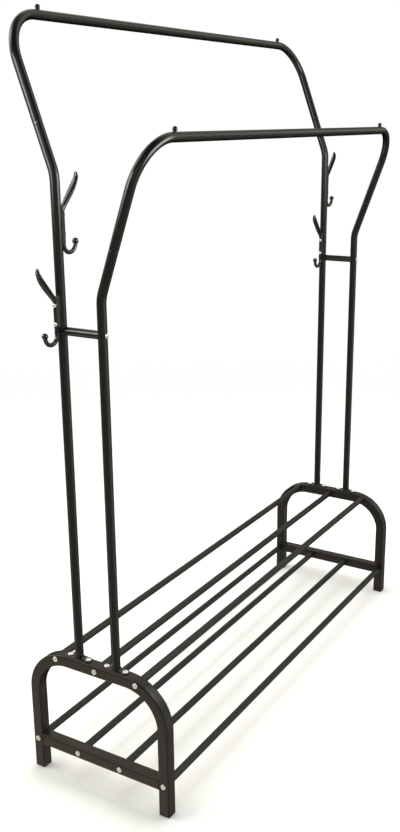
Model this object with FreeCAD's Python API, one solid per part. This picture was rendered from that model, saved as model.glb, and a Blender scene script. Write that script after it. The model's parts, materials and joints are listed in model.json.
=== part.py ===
import FreeCAD, Part
import os
from math import cos, radians, sin, sqrt, tan
from FreeCAD import Placement, Rotation, Vector

# A two-level garment rail on a shoe-rack base, in millimetres.
# +X runs along the rails (left end is -X), +Y points to the rear, +Z is up.
# The origin is on the floor, midway between the four legs.

# Base: two bent end arches of square tube, joined by round shelf bars.
leg_side = 25.0
leg_wall = 1.2
leg_corner = 3.0
frame_spacing = 1156.0
frame_depth = 350.0
frame_height = 295.0
arch_bend_radius = 88.0
crossbar_height = 71.0

# Foot plugs, pressed up into the legs.
foot_plate = 2.5
foot_plug_depth = 16.0
foot_plug_wall = 2.0
sole_chamfer = 0.6

# Shelf bars.
bar_diameter = 15.5
bar_wall = 0.9
upper_bar_pitch = 101.0
plug_length = 14.0

# Uprights.
upright_diameter = 18.2
upright_wall = 1.0
upright_offset = 46.5
upright_bend_radius = 80.0
slant_angle = 20.0
front_bend_height = 1049.0
rear_lift = 216.0
seam_rise = 88.0
neck_diameter = 16.0
neck_length = 45.0
neck_wall = 1.0
neck_lead_in = 0.8
shoulder_chamfer = 0.5
swage_length = 6.0

# Hanging rails, sleeved over the necks of the uprights.
rail_diameter = 18.5
rail_bore = 16.1
rail_rise = 276.0
rail_bend_radius = 90.0
mouth_chamfer = 0.6

# Flanges under the uprights.
flange_thickness = 2.5
flange_width = 21.0
flange_screw_offset = 23.0
flange_end_margin = 7.0
collar_height = 5.0
collar_foot_diameter = 24.0
collar_top_diameter = 20.8

# Links between front and rear uprights.
link_height = 981.0
link_diameter = 16.0
link_wall = 1.0
link_plug_length = 15.0

# Fasteners: shank diameter, head diameter, head height.
shelf_bolt = (6.0, 11.4, 3.2)
flange_screw = (5.0, 11.6, 2.6)
link_bolt = (5.0, 9.0, 3.0)
hook_screw = (4.0, 8.0, 2.6)
hole_clearance = 0.2
fit_clearance = 0.05
thread_gap = 2.0
overshoot = 1.0
flange_screw_length = 12.0
hook_screw_length = 16.3
nut_across_flats = 8.0
nut_thickness = 4.0

# End stops on the rails.
stop_inset = 98.0
stop_ball_diameter = 9.5
stop_height = 9.5
stop_neck_diameter = 7.6
stop_stem_diameter = 4.0
stop_stem_length = 4.0
stop_foot_diameter = 8.6
stop_foot_height = 1.2

# Double hooks on the rear uprights: heights of the middle of their two screws.
upper_hook_height = 1176.0
lower_hook_height = 1013.5
hook_screw_pitch = 35.0
hook_body_width = 8.0
hook_front = 19.3
hook_body_top = 34.0
hook_body_foot = -38.0
hook_edge_radius = 1.6
hook_seat_overlap = 3.0
hook_rod_diameter = 8.4
hook_rod_out = 15.5
hook_heel_length = 8.0
hook_cup_radius = 17.5
hook_cup_height = -36.0
hook_ball_diameter = 12.0
hook_ball_rise = 1.5

# The upper prong's ovals: distance out, height, lean, half width and half thickness.
prong_ovals = (
    (14.0, 20.0, 14.0, 3.9, 4.6),
    (21.0, 32.5, 42.0, 4.9, 3.0),
    (33.0, 46.5, 42.0, 6.2, 2.6),
    (44.0, 59.0, 40.0, 6.8, 2.5),
    (54.5, 71.5, 33.0, 6.8, 2.5),
    (60.2, 81.5, 12.0, 5.4, 2.3),
    (60.6, 89.0, -2.0, 2.9, 1.4),
)

# The rib on the outer side of the prong: the points its edge curves through, out and up.
rib_thickness = 3.2
rib_edge = ((18.0, 17.0), (26.0, 28.0), (39.0, 41.2), (50.6, 53.6), (60.6, 67.5), (63.6, 79.0), (61.6, 86.0))

# Values worked out from the driving dimensions.
end_x = frame_spacing / 2
leg_y = (frame_depth - leg_side) / 2
arch_axis_height = frame_height - leg_side / 2
arch_face_x = end_x + leg_side / 2
bar_end_x = end_x - leg_side / 2
inner_side = leg_side - 2 * leg_wall
inner_corner = leg_corner - leg_wall
slant = radians(slant_angle)
rear_bend_height = front_bend_height + rear_lift
rail_offset = upright_offset + rail_rise * tan(slant)
lower_bar_pitch = 2 * leg_y / 3
crossbar_bars = ("lower_shelf_bar_front_middle", "lower_shelf_bar_rear_middle")
ends = (("left", -1), ("right", 1))
rows = (("front", -1), ("rear", 1))


def cylinder(diameter, start, end):
    """A solid round bar from one point to another."""
    run = end - start
    return Part.makeCylinder(diameter / 2, run.Length, start, run)


def pipe(route, section):
    """Sweeps a closed section along straight and circular edges."""
    return Part.Wire(route).makePipeShell([section], True, True)


def circle_wire(diameter, centre, normal):
    return Part.Wire([Part.Circle(centre, normal, diameter / 2).toShape()])


def rounded_square(side, corner, centre):
    """A square outline with rounded corners, lying flat around a centre."""
    half = side / 2
    flat = half - corner
    diagonal = flat + corner * sqrt(0.5)
    edges = []
    for quarter in range(4):
        turn = Rotation(Vector(0, 0, 1), 90 * quarter)
        start = centre + turn.multVec(Vector(half, -flat, 0))
        bend = centre + turn.multVec(Vector(half, flat, 0))
        middle = centre + turn.multVec(Vector(diagonal, diagonal, 0))
        finish = centre + turn.multVec(Vector(flat, half, 0))
        edges.append(Part.LineSegment(start, bend).toShape())
        edges.append(Part.Arc(bend, middle, finish).toShape())
    return Part.Wire(edges)


def bent_route(corners, radius):
    """Straight edges through the corners, with a tangent arc of the radius at each inner one."""
    edges = []
    here = corners[0]
    for before, corner, after in zip(corners, corners[1:], corners[2:]):
        back = (before - corner).normalize()
        ahead = (after - corner).normalize()
        half_turn = back.getAngle(ahead) / 2
        setback = radius / tan(half_turn)
        to_centre = (back + ahead).normalize()
        arc_start = corner + back * setback
        arc_end = corner + ahead * setback
        arc_middle = corner + to_centre * (radius / sin(half_turn) - radius)
        edges.append(Part.LineSegment(here, arc_start).toShape())
        edges.append(Part.Arc(arc_start, arc_middle, arc_end).toShape())
        here = arc_end
    edges.append(Part.LineSegment(here, corners[-1]).toShape())
    return edges


def pointed(shape, position, direction):
    """Turns a shape made along +Z to a direction and moves its origin to a position."""
    shape = shape.copy()
    shape.Placement = Placement(position, Rotation(Vector(0, 0, 1), direction))
    return shape


def pan_head_screw(size, length):
    """A pan-head screw with a cross recess: the head's seat is at z = 0, the shank points down."""
    shank, head, height = size
    radius = head / 2
    rim = 0.35 * height
    bulge = Vector(0.78 * radius, 0, 0.80 * height)
    outline = [
        Part.LineSegment(Vector(0, 0, 0), Vector(radius, 0, 0)).toShape(),
        Part.LineSegment(Vector(radius, 0, 0), Vector(radius, 0, rim)).toShape(),
        Part.Arc(Vector(radius, 0, rim), bulge, Vector(0, 0, height)).toShape(),
        Part.LineSegment(Vector(0, 0, height), Vector(0, 0, 0)).toShape(),
    ]
    cap = Part.Face(Part.Wire(outline)).revolve(Vector(0, 0, 0), Vector(0, 0, 1), 360)
    slot_width = 0.13 * head
    slot_length = 0.52 * head
    slot_depth = 0.5 * height
    for long_x, long_y in ((slot_length, slot_width), (slot_width, slot_length)):
        corner = Vector(-long_x / 2, -long_y / 2, height - slot_depth)
        cap = cap.cut(Part.makeBox(long_x, long_y, height, corner))
    tip = 0.2 * shank
    stem = Part.makeCylinder(shank / 2, length - tip, Vector(0, 0, tip - length))
    point = Part.makeCone(0.6 * shank / 2, shank / 2, tip, Vector(0, 0, -length))
    return cap.fuse([stem, point]).removeSplitter()


def bolt_hole(size, start, end):
    """The clearance hole for a fastener, from one point to another."""
    return cylinder(size[0] + 2 * hole_clearance, start, end)


def shelf_bar_places():
    """Each shelf bar's name, distance from the middle and height."""
    places = []
    for index, name in enumerate(("front", "middle", "rear")):
        y = (index - 1) * upper_bar_pitch
        places.append((f"upper_shelf_bar_{name}", y, arch_axis_height))
    for index, name in enumerate(("front", "front_middle", "rear_middle", "rear")):
        y = -leg_y + index * lower_bar_pitch
        places.append((f"lower_shelf_bar_{name}", y, crossbar_height))
    return places


def row_heights(row):
    """The heights of the upright's bend and of the hanging rail's axis in a row."""
    bend = front_bend_height if row < 0 else rear_bend_height
    return bend, bend + rail_rise


def slant_direction(row):
    return Vector(0, row * sin(slant), cos(slant))


def seam_point(side, row):
    """Where the hanging rail's mouth rests on the upright's shoulder."""
    bend, _ = row_heights(row)
    y = row * (upright_offset + seam_rise * tan(slant))
    return Vector(side * end_x, y, bend + seam_rise)


def end_arch(side):
    """The inverted U of square tube, with its bolt and screw holes."""
    x = side * end_x
    corners = [
        Vector(x, -leg_y, foot_plate),
        Vector(x, -leg_y, arch_axis_height),
        Vector(x, leg_y, arch_axis_height),
        Vector(x, leg_y, foot_plate),
    ]
    route = bent_route(corners, arch_bend_radius)
    outer = pipe(route, rounded_square(leg_side, leg_corner, corners[0]))
    inner = pipe(route, rounded_square(inner_side, inner_corner, corners[0]))
    holes = []
    for name, y, z in shelf_bar_places():
        if name not in crossbar_bars:
            holes.append(shelf_bolt_hole(side, y, z))
    for place in flange_screw_places(side):
        holes.append(bolt_hole(flange_screw, place, place - Vector(0, 0, leg_side / 2)))
    return outer.cut(inner).cut(holes)


def shelf_bolt_hole(side, y, z):
    start = Vector(side * (arch_face_x + overshoot), y, z)
    end = Vector(side * (bar_end_x - overshoot), y, z)
    return bolt_hole(shelf_bolt, start, end)


def crossbar(side):
    """The square tube welded between the legs of an arch."""
    length = 2 * (leg_y - leg_side / 2)
    walls = []
    for width, corner in ((leg_side, leg_corner), (inner_side, inner_corner)):
        outline = rounded_square(width, corner, Vector(0, 0, 0))
        walls.append(Part.Face(outline).extrude(Vector(0, 0, length)))
    start = Vector(side * end_x, -length / 2, crossbar_height)
    tube = pointed(walls[0].cut(walls[1]), start, Vector(0, 1, 0))
    holes = [shelf_bolt_hole(side, y, z) for name, y, z in shelf_bar_places() if name in crossbar_bars]
    return tube.cut(holes)


def foot_plug(side, row):
    """The plastic plug that closes a leg and rests on the floor."""
    centre = Vector(side * end_x, row * leg_y, 0)
    plate = Part.Face(rounded_square(leg_side, leg_corner, centre)).extrude(Vector(0, 0, foot_plate))
    sole = [edge for edge in plate.Edges if edge.BoundBox.ZMax < foot_plate / 2]
    plate = plate.makeChamfer(sole_chamfer, sole)
    start = centre + Vector(0, 0, foot_plate)
    depth = Vector(0, 0, foot_plug_depth)
    stem_side = inner_side - 2 * fit_clearance
    stem = Part.Face(rounded_square(stem_side, inner_corner, start)).extrude(depth)
    well = Part.Face(rounded_square(stem_side - 2 * foot_plug_wall, inner_corner, start)).extrude(depth)
    return plate.fuse(stem.cut(well)).removeSplitter()


def shelf_bar(y, z):
    start = Vector(-bar_end_x, y, z)
    end = Vector(bar_end_x, y, z)
    return cylinder(bar_diameter, start, end).cut(cylinder(bar_diameter - 2 * bar_wall, start, end))


def bar_end_plug(side, y, z):
    """The threaded plug pressed into a shelf bar's end."""
    start = Vector(side * bar_end_x, y, z)
    end = Vector(side * (bar_end_x - plug_length), y, z)
    plug = cylinder(bar_diameter - 2 * bar_wall - 2 * fit_clearance, start, end)
    return plug.cut(cylinder(shelf_bolt[0] + 2 * fit_clearance, start, end))


def shelf_bolt_solid(side, y, z):
    screw = pan_head_screw(shelf_bolt, leg_side + plug_length - thread_gap)
    return pointed(screw, Vector(side * arch_face_x, y, z), Vector(side, 0, 0))


def upright(side, row):
    """A bent tube with a swaged neck at the top, drilled for its link and its hooks."""
    bend, _ = row_heights(row)
    seam = seam_point(side, row)
    rise = slant_direction(row)
    foot = Vector(side * end_x, row * upright_offset, frame_height)
    corner = Vector(foot.x, foot.y, bend)
    outer_route = bent_route([foot, corner, seam], upright_bend_radius)
    bore_route = bent_route([foot, corner, seam - rise * swage_length], upright_bend_radius)
    up = Vector(0, 0, 1)
    outer = pipe(outer_route, circle_wire(upright_diameter, foot, up))
    shoulder = [edge for edge in outer.Edges if (edge.CenterOfMass - seam).Length < shoulder_chamfer]
    outer = outer.makeChamfer(shoulder_chamfer, shoulder)
    bore = pipe(bore_route, circle_wire(upright_diameter - 2 * upright_wall, foot, up))
    neck_top = seam + rise * neck_length
    neck = cylinder(neck_diameter, seam - rise * overshoot, neck_top)
    rim = [edge for edge in neck.Edges if (edge.CenterOfMass - neck_top).Length < neck_lead_in]
    neck = neck.makeChamfer(neck_lead_in, rim)
    neck_bore_start = seam - rise * (swage_length + overshoot)
    neck_bore = cylinder(neck_diameter - 2 * neck_wall, neck_bore_start, neck_top + rise * overshoot)
    tube = outer.fuse(neck).cut([bore, neck_bore])
    link_hole_end = Vector(foot.x, row * (upright_offset + upright_diameter), link_height)
    link_hole_start = Vector(foot.x, row * (upright_offset - upright_diameter), link_height)
    holes = [bolt_hole(link_bolt, link_hole_start, link_hole_end)]
    if row > 0:
        for height, facing in ((upper_hook_height, 1), (lower_hook_height, -1)):
            for shift in (-hook_screw_pitch / 2, hook_screw_pitch / 2):
                start = Vector(foot.x, foot.y, height + shift)
                end = start + Vector(facing * upright_diameter, 0, 0)
                holes.append(bolt_hole(hook_screw, start, end))
    return tube.cut(holes)


def flange(side, row):
    """The screwed-down plate with a flared collar around an upright's foot."""
    centre = Vector(side * end_x, row * upright_offset, frame_height)
    end_radius = flange_width / 2
    reach = flange_screw_offset + flange_end_margin - end_radius
    plate_corner = centre - Vector(end_radius, reach, 0)
    plate = Part.makeBox(flange_width, 2 * reach, flange_thickness, plate_corner)
    for way in (-1, 1):
        tab = Part.makeCylinder(end_radius, flange_thickness, centre + Vector(0, way * reach, 0))
        plate = plate.fuse(tab)
    plate = plate.removeSplitter()
    collar_radius = collar_foot_diameter / 2
    collar = Part.makeCone(collar_radius, collar_top_diameter / 2, collar_height, centre)
    limit_corner = centre - Vector(end_radius, collar_radius, 0)
    side_limit = Part.makeBox(flange_width, collar_foot_diameter, collar_height, limit_corner)
    body = plate.fuse(collar.common(side_limit)).removeSplitter()
    above = Vector(0, 0, collar_height + overshoot)
    below = Vector(0, 0, -overshoot)
    cuts = [cylinder(upright_diameter + 2 * fit_clearance, centre + below, centre + above)]
    for way in (-1, 1):
        hole = centre + Vector(0, way * flange_screw_offset, 0)
        cuts.append(bolt_hole(flange_screw, hole + below, hole + above))
    return body.cut(cuts)


def flange_screw_places(side):
    """Where each flange screw's head sits, on the top of its flange."""
    places = []
    for _, row in rows:
        for way in (-1, 1):
            y = row * upright_offset + way * flange_screw_offset
            places.append(Vector(side * end_x, y, frame_height + flange_thickness))
    return places


def flange_nut(place):
    """The weld nut under the arch's top wall, around a flange screw."""
    top = place - Vector(0, 0, flange_thickness + leg_wall)
    corner = Vector(0, nut_across_flats / sqrt(3), 0)
    points = [top + Rotation(Vector(0, 0, 1), 60 * step).multVec(corner) for step in range(7)]
    nut = Part.Face(Part.makePolygon(points)).extrude(Vector(0, 0, -nut_thickness))
    bottom = top - Vector(0, 0, nut_thickness)
    return nut.cut(cylinder(flange_screw[0] + 2 * fit_clearance, top, bottom))


def link_tube(side):
    """The tube between a front and a rear upright, coped to fit round both."""
    start = Vector(side * end_x, -upright_offset, link_height)
    end = Vector(side * end_x, upright_offset, link_height)
    tube = cylinder(link_diameter, start, end)
    bore = cylinder(link_diameter - 2 * link_wall, start, end)
    return tube.cut([bore] + [upright_clearance(side, row) for _, row in rows])


def upright_clearance(side, row):
    """The space that an upright takes where its link meets it."""
    low = Vector(side * end_x, row * upright_offset, link_height - 2 * link_diameter)
    high = low + Vector(0, 0, 4 * link_diameter)
    return cylinder(upright_diameter + 2 * fit_clearance, low, high)


def link_plug(side, row):
    """The threaded plug in a link's end."""
    inner_y = row * (upright_offset - upright_diameter / 2 - link_plug_length)
    start = Vector(side * end_x, row * upright_offset, link_height)
    end = Vector(side * end_x, inner_y, link_height)
    plug = cylinder(link_diameter - 2 * link_wall - 2 * fit_clearance, start, end)
    thread = cylinder(link_bolt[0] + 2 * fit_clearance, start, end)
    return plug.cut([upright_clearance(side, row), thread])


def link_bolt_solid(side, row):
    seat = Vector(side * end_x, row * (upright_offset + upright_diameter / 2), link_height)
    screw = pan_head_screw(link_bolt, upright_diameter + link_plug_length - thread_gap)
    return pointed(screw, seat, Vector(0, row, 0))


def stop_places(row):
    """Where the end stops stand on the top of a hanging rail."""
    _, height = row_heights(row)
    y = row * rail_offset
    top = height + rail_diameter / 2
    return [(name, Vector(side * (end_x - stop_inset), y, top)) for name, side in ends]


def hanging_rail(row):
    """One long tube, bent down and back at both ends to sleeve over two uprights."""
    _, height = row_heights(row)
    left_mouth, right_mouth = seam_point(-1, row), seam_point(1, row)
    corners = [
        left_mouth,
        Vector(-end_x, row * rail_offset, height),
        Vector(end_x, row * rail_offset, height),
        right_mouth,
    ]
    route = bent_route(corners, rail_bend_radius)
    rise = slant_direction(row)
    tube = pipe(route, circle_wire(rail_diameter, left_mouth, rise))
    tube = tube.cut(pipe(route, circle_wire(rail_bore, left_mouth, rise)))
    rims = []
    for edge in tube.Edges:
        gap = min((edge.CenterOfMass - mouth).Length for mouth in (left_mouth, right_mouth))
        if gap < mouth_chamfer and edge.BoundBox.XLength > (rail_diameter + rail_bore) / 2:
            rims.append(edge)
    tube = tube.makeChamfer(mouth_chamfer, rims)
    holes = []
    for _, place in stop_places(row):
        depth = Vector(0, 0, rail_diameter / 2)
        holes.append(cylinder(stop_stem_diameter + 2 * fit_clearance, place + depth, place - depth))
    return tube.cut(holes)


def rail_stop(place):
    """A ball on a short neck, with its stem through the rail's upper wall."""
    ball_centre = Vector(0, 0, stop_height - stop_ball_diameter / 2)
    ball = Part.makeSphere(stop_ball_diameter / 2, ball_centre)
    neck = Part.makeCylinder(stop_neck_diameter / 2, ball_centre.z)
    stem_start = Vector(0, 0, -stop_stem_length)
    stem = Part.makeCylinder(stop_stem_diameter / 2, stop_stem_length + overshoot, stem_start)
    foot = Part.makeCone(stop_foot_diameter / 2, stop_neck_diameter / 2, stop_foot_height)
    stop = ball.fuse([neck, stem, foot]).removeSplitter()
    stop.translate(place)
    return stop


def hook(side, height, facing):
    """A cast double hook: ribbed upper prong, lower cup with a ball, two spot-faced screw holes."""
    casting = hook_body().fuse([hook_cup(), hook_prong(), hook_rib()])
    seat_start = Vector(0, 0, 2 * hook_body_foot)
    seat_end = Vector(0, 0, 2 * hook_body_top)
    cuts = [cylinder(upright_diameter + 2 * fit_clearance, seat_start, seat_end)]
    for shift in (-hook_screw_pitch / 2, hook_screw_pitch / 2):
        seat = Vector(hook_front, 0, shift)
        clear_of_hook = Vector(2 * hook_front, 0, shift)
        cuts.append(bolt_hole(hook_screw, Vector(0, 0, shift), clear_of_hook))
        cuts.append(cylinder(hook_screw[1] + 2 * hole_clearance, seat, clear_of_hook))
    casting = casting.cut(cuts)
    turn = Rotation(Vector(0, 0, 1), 0 if facing > 0 else 180)
    casting.Placement = Placement(Vector(side * end_x, upright_offset, height), turn)
    return casting


def hook_body():
    """The bar against the upright, with its front edges rounded."""
    back = upright_diameter / 2 - hook_seat_overlap
    corner = Vector(back, -hook_body_width / 2, hook_body_foot)
    bar = Part.makeBox(hook_front - back, hook_body_width, hook_body_top - hook_body_foot, corner)
    front_edges = [edge for edge in bar.Edges if edge.BoundBox.XMin > hook_front - hook_edge_radius]
    return bar.makeFillet(hook_edge_radius, front_edges)


def hook_cup():
    """The lower cup: a round rod through a half circle, with a ball on its end."""
    centre = Vector(hook_rod_out + hook_cup_radius, 0, hook_cup_height)
    reach = Vector(hook_cup_radius, 0, 0)
    lowest = centre - Vector(0, 0, hook_cup_radius)
    arc = Part.Arc(centre - reach, lowest, centre + reach).toShape()
    rod = pipe([arc], circle_wire(hook_rod_diameter, centre - reach, Vector(0, 0, 1)))
    heel = cylinder(hook_rod_diameter, centre - reach + Vector(0, 0, hook_heel_length), centre - reach)
    ball = Part.makeSphere(hook_ball_diameter / 2, centre + reach + Vector(0, 0, hook_ball_rise))
    return rod.fuse([heel, ball])


def hook_prong():
    """The upper prong, lofted through its ovals."""
    ovals = []
    for out, up, lean, half_width, half_thickness in prong_ovals:
        wide = max(half_width, half_thickness)
        thin = min(half_width, half_thickness)
        outline = Part.Wire([Part.Ellipse(Vector(0, 0, 0), wide, thin).toShape()])
        across = Rotation(Vector(0, 0, 1), 90 if half_width >= half_thickness else 0)
        outline.Placement = Placement(Vector(out, 0, up), Rotation(Vector(0, 1, 0), lean) * across)
        ovals.append(outline)
    return Part.makeLoft(ovals, True, False)


def hook_rib():
    """The web that stiffens the prong, between the prong's middle line and a curved edge."""
    edge_points = [Vector(out, -rib_thickness / 2, up) for out, up in rib_edge]
    curve = Part.BSplineCurve()
    curve.interpolate(edge_points)
    middle_line = [Vector(oval[0], -rib_thickness / 2, oval[1]) for oval in reversed(prong_ovals[:-1])]
    back = Part.makePolygon([edge_points[-1]] + middle_line + [edge_points[0]])
    outline = Part.Wire([curve.toShape()] + back.Edges)
    return Part.Face(outline).extrude(Vector(0, rib_thickness, 0))


def hook_screw_solids(side, height, facing):
    screw = pan_head_screw(hook_screw, hook_screw_length)
    solids = []
    for shift in (-hook_screw_pitch / 2, hook_screw_pitch / 2):
        seat = Vector(side * end_x + facing * hook_front, upright_offset, height + shift)
        solids.append(pointed(screw, seat, Vector(facing, 0, 0)))
    return solids


def build():
    """Every node's name and shape."""
    nodes = {}
    bars = shelf_bar_places()
    hooks = (("upper", upper_hook_height, 1), ("lower", lower_hook_height, -1))
    for end, side in ends:
        nodes[f"{end}_end_arch"] = end_arch(side)
        nodes[f"{end}_crossbar"] = crossbar(side)
        nodes[f"{end}_bar_end_plugs"] = Part.makeCompound([bar_end_plug(side, y, z) for _, y, z in bars])
        nodes[f"{end}_shelf_bolts"] = Part.makeCompound([shelf_bolt_solid(side, y, z) for _, y, z in bars])
        places = flange_screw_places(side)
        screw = pan_head_screw(flange_screw, flange_screw_length)
        up = Vector(0, 0, 1)
        nodes[f"{end}_flange_screws"] = Part.makeCompound([pointed(screw, place, up) for place in places])
        nodes[f"{end}_flange_nuts"] = Part.makeCompound([flange_nut(place) for place in places])
        nodes[f"{end}_link_tube"] = link_tube(side)
        nodes[f"{end}_link_plugs"] = Part.makeCompound([link_plug(side, row) for _, row in rows])
        nodes[f"{end}_link_bolts"] = Part.makeCompound([link_bolt_solid(side, row) for _, row in rows])
        for name, row in rows:
            nodes[f"{end}_{name}_foot_plug"] = foot_plug(side, row)
            nodes[f"{end}_{name}_upright"] = upright(side, row)
            nodes[f"{end}_{name}_flange"] = flange(side, row)
        screws = []
        for name, height, facing in hooks:
            nodes[f"{end}_{name}_hook"] = hook(side, height, facing)
            screws += hook_screw_solids(side, height, facing)
        nodes[f"{end}_hook_screws"] = Part.makeCompound(screws)
    for name, y, z in bars:
        nodes[name] = shelf_bar(y, z)
    for name, row in rows:
        nodes[f"{name}_hanging_rail"] = hanging_rail(row)
        for end, place in stop_places(row):
            nodes[f"{end}_{name}_rail_stop"] = rail_stop(place)
    return nodes


os.makedirs("parts", exist_ok=True)
for node, shape in build().items():
    shape.exportStep(f"parts/{node}.step")
    print(f"{node}: {len(shape.Solids)} solids, {shape.Volume / 1000:.1f} cm3, valid {shape.isValid()}")
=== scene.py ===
import json
from math import ceil, cos, exp, log, pi, radians, sin, sqrt, tan

import bmesh
import bpy
from mathutils import Matrix, Vector


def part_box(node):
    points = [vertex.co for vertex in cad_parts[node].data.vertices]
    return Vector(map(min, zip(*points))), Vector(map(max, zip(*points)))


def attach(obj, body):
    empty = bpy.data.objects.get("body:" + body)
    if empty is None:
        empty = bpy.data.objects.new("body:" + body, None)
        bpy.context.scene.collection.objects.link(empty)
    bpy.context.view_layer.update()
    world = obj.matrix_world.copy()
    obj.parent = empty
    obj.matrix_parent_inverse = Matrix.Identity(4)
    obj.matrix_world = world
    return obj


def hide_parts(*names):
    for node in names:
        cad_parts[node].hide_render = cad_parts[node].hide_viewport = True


# A two-level garment rail in the frame of its CAD model, in metres.
# +X runs along the rails (left end is -X), +Y points to the rear, +Z is up.

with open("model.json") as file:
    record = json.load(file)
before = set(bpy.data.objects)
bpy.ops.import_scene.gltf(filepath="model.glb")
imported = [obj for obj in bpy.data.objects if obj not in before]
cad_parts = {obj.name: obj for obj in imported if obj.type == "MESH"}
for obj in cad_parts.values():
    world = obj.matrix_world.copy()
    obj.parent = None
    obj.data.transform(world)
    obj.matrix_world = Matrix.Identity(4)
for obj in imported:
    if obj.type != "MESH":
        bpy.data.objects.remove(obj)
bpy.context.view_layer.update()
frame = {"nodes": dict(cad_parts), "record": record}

MM = 0.001
X = Vector((1, 0, 0))
Y = Vector((0, 1, 0))
Z = Vector((0, 0, 1))
ENDS = (("left", -1), ("right", 1))
ROWS = (("front", -1), ("rear", 1))
QUARTER_TURNS = ((1, 0), (0, 1), (-1, 0), (0, -1))
SHARP_ANGLE = radians(38)
BODY_OF = {n: body for body, names in frame["record"]["behaviour"]["bodies"].items() for n in names}
SLOT_OF = {part["node"]: part["material_slot"] for part in frame["record"]["subparts"]}
SHELF_BARS = sorted(node for node in SLOT_OF if "shelf_bar" in node)


def middle(node):
    low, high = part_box(node)
    return (low + high) / 2


def size(node):
    low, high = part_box(node)
    return high - low


# Measures read from the CAD model.
LEG_SIDE = size("left_front_foot_plug").x
END_X = middle("right_front_foot_plug").x
LEG_Y = middle("right_rear_foot_plug").y
ARCH_FOOT, FRAME_TOP = (corner.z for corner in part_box("left_end_arch"))
ARCH_AXIS = FRAME_TOP - LEG_SIDE / 2
CROSSBAR_AXIS = middle("left_crossbar").z
ARCH_FACE = END_X + LEG_SIDE / 2
BAR_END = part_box("upper_shelf_bar_middle")[1].x
BAR_RADIUS = size("upper_shelf_bar_middle").z / 2
UPRIGHT_RADIUS = size("left_front_upright").x / 2
UPRIGHT_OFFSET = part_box("left_rear_upright")[0].y + UPRIGHT_RADIUS
RAIL_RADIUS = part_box("front_hanging_rail")[1].x - END_X
LINK_AXIS = middle("left_link_tube").z
LINK_RADIUS = size("left_link_tube").z / 2
FLANGE_WIDTH, FLANGE_LENGTH, FLANGE_HEIGHT = size("left_front_flange")

# Measures of the design that a box doesn't give.
LEG_WALL = 1.2 * MM
LEG_CORNER = 3.0 * MM
ARCH_BEND = 88 * MM
BAR_WALL = 0.9 * MM
UPRIGHT_WALL = 1.0 * MM
UPRIGHT_BEND = 80 * MM
SLANT = radians(20)
BEND_HEIGHT = {-1: 1.049, 1: 1.265}  # of each row's uprights
SEAM_RISE = 88 * MM
NECK_RADIUS = 8 * MM
NECK_LENGTH = 45 * MM
NECK_LEAD_IN = 0.8 * MM
RAIL_BORE = 8.05 * MM
RAIL_RISE = 276 * MM
RAIL_BEND = 90 * MM
MOUTH_ROUND = 0.6 * MM
BORE_ROUNDING = 0.25  # of the rim outside
BEND_PRESS = 0.05  # of the diameter
LINK_WALL = 1.0 * MM
LINK_ROUNDING = 0.2 * MM
LINK_SEGMENTS = 56
SEAT_CLEARANCE = 0.05 * MM
FLANGE_PLATE = 2.5 * MM
FLANGE_SCREW_OFFSET = 23 * MM
COLLAR_FOOT_RADIUS = 12 * MM
COLLAR_TOP_RADIUS = 10.4 * MM
STOP_HEIGHT = 9.5 * MM
HOOKS = (("upper", 1.176, 1), ("lower", 1.0135, -1))  # name, height and way it faces along X
HOOK_SCREW_SHIFTS = (-17.5 * MM, 17.5 * MM)
HOOK_FRONT = 19.3 * MM

# Fasteners, in mm: shank radius, head radius, head height, shank length and thread pitch.
FASTENERS = {
    "shelf_bolts": (3.0, 5.7, 3.2, 37, 1.0),
    "flange_screws": (2.5, 5.8, 2.6, 12, 0.8),
    "link_bolts": (2.5, 4.5, 3.0, 31.2, 0.8),
    "hook_screws": (2.0, 4.0, 2.6, 16.3, 0.7),
}


# ---- mesh tools

class Shape:
    """Shells of points and faces, with each point's wear: 0 to 1 as it is exposed, more at a chip in the
    paint, where a glint is painted too.
    """

    def __init__(self):
        self.points = []
        self.wear = []
        self.faces = []

    def skin(self, rings, closed=False):
        """A surface through rings of (point, wear); closed joins last to first, else ends are capped."""
        first = len(self.points)
        count = len(rings[0])
        for ring in rings:
            for point, wear in ring:
                self.points.append(point)
                self.wear.append(wear)
        bands = len(rings) if closed else len(rings) - 1
        for band in range(bands):
            here = first + band * count
            there = first + (band + 1) % len(rings) * count
            for k in range(count):
                after = (k + 1) % count
                self.faces.append((here + k, here + after, there + after, there + k))
        if not closed:
            last = first + (len(rings) - 1) * count
            self.faces.append(tuple(range(first, first + count)))
            self.faces.append(tuple(range(last, last + count)))
        return self

    def add_mesh(self, mesh):
        first = len(self.points)
        self.points += [v.co.copy() for v in mesh.vertices]
        self.wear += [0.0] * len(mesh.vertices)
        self.faces += [tuple(first + v for v in face.vertices) for face in mesh.polygons]
        return self

    def add_shape(self, shape, matrix):
        first = len(self.points)
        self.points += [matrix @ p for p in shape.points]
        self.wear += shape.wear
        self.faces += [tuple(first + v for v in face) for face in shape.faces]
        return self


def finished_mesh(name, shape, sharp_angle=SHARP_ANGLE):
    """The shape as a mesh with outward normals, smooth faces, sharp edges and its wear."""
    mesh = bpy.data.meshes.new(name)
    mesh.from_pydata([tuple(p) for p in shape.points], [], shape.faces)
    attribute = mesh.attributes.new("wear", "FLOAT", "POINT")
    attribute.data.foreach_set("value", shape.wear)
    work = bmesh.new()
    work.from_mesh(mesh)
    bmesh.ops.recalc_face_normals(work, faces=work.faces)
    for face in work.faces:
        face.smooth = True
    for edge in work.edges:
        if len(edge.link_faces) == 2 and edge.calc_face_angle(0.0) > sharp_angle:
            edge.smooth = False
    work.to_mesh(mesh)
    work.free()
    return mesh


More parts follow.
